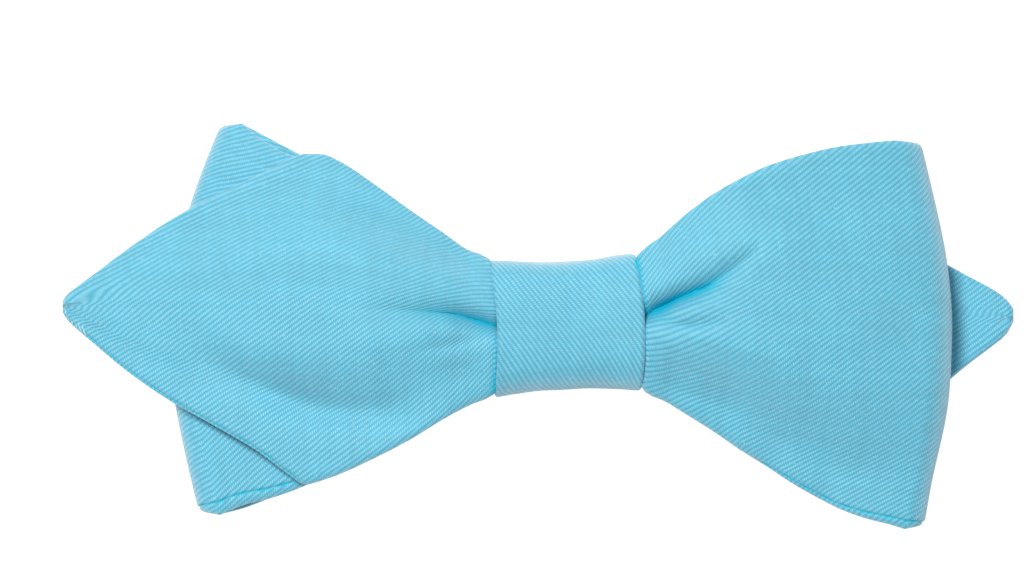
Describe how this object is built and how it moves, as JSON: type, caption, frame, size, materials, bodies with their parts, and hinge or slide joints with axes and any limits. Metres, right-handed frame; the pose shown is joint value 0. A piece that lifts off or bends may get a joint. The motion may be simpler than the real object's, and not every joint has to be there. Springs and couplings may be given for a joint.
{
  "type": "diamond point bow tie",
  "caption": "Pre-tied bow tie in plain light blue twill with diamond points: on each side a pointed end and a folded loop, gathered by a wrapped knot.",
  "frame": {"origin": "middle of the collar clip's back face, on the surface that the tie lies on", "axes": "+X to the right as seen from the front, +Y to the top edge, +Z out of the front face"},
  "size_m": [0.1201, 0.0509, 0.0143],
  "materials": {
    "twill": "plain light blue cotton twill with a fine steep rib",
    "clip_metal": "satin nickel-plated sheet"
  },
  "bodies": {
    "root": {"front_bow": "twill", "back_bow": "twill", "knot": "twill", "collar_clip": "clip_metal"}
  },
  "joints": []
}
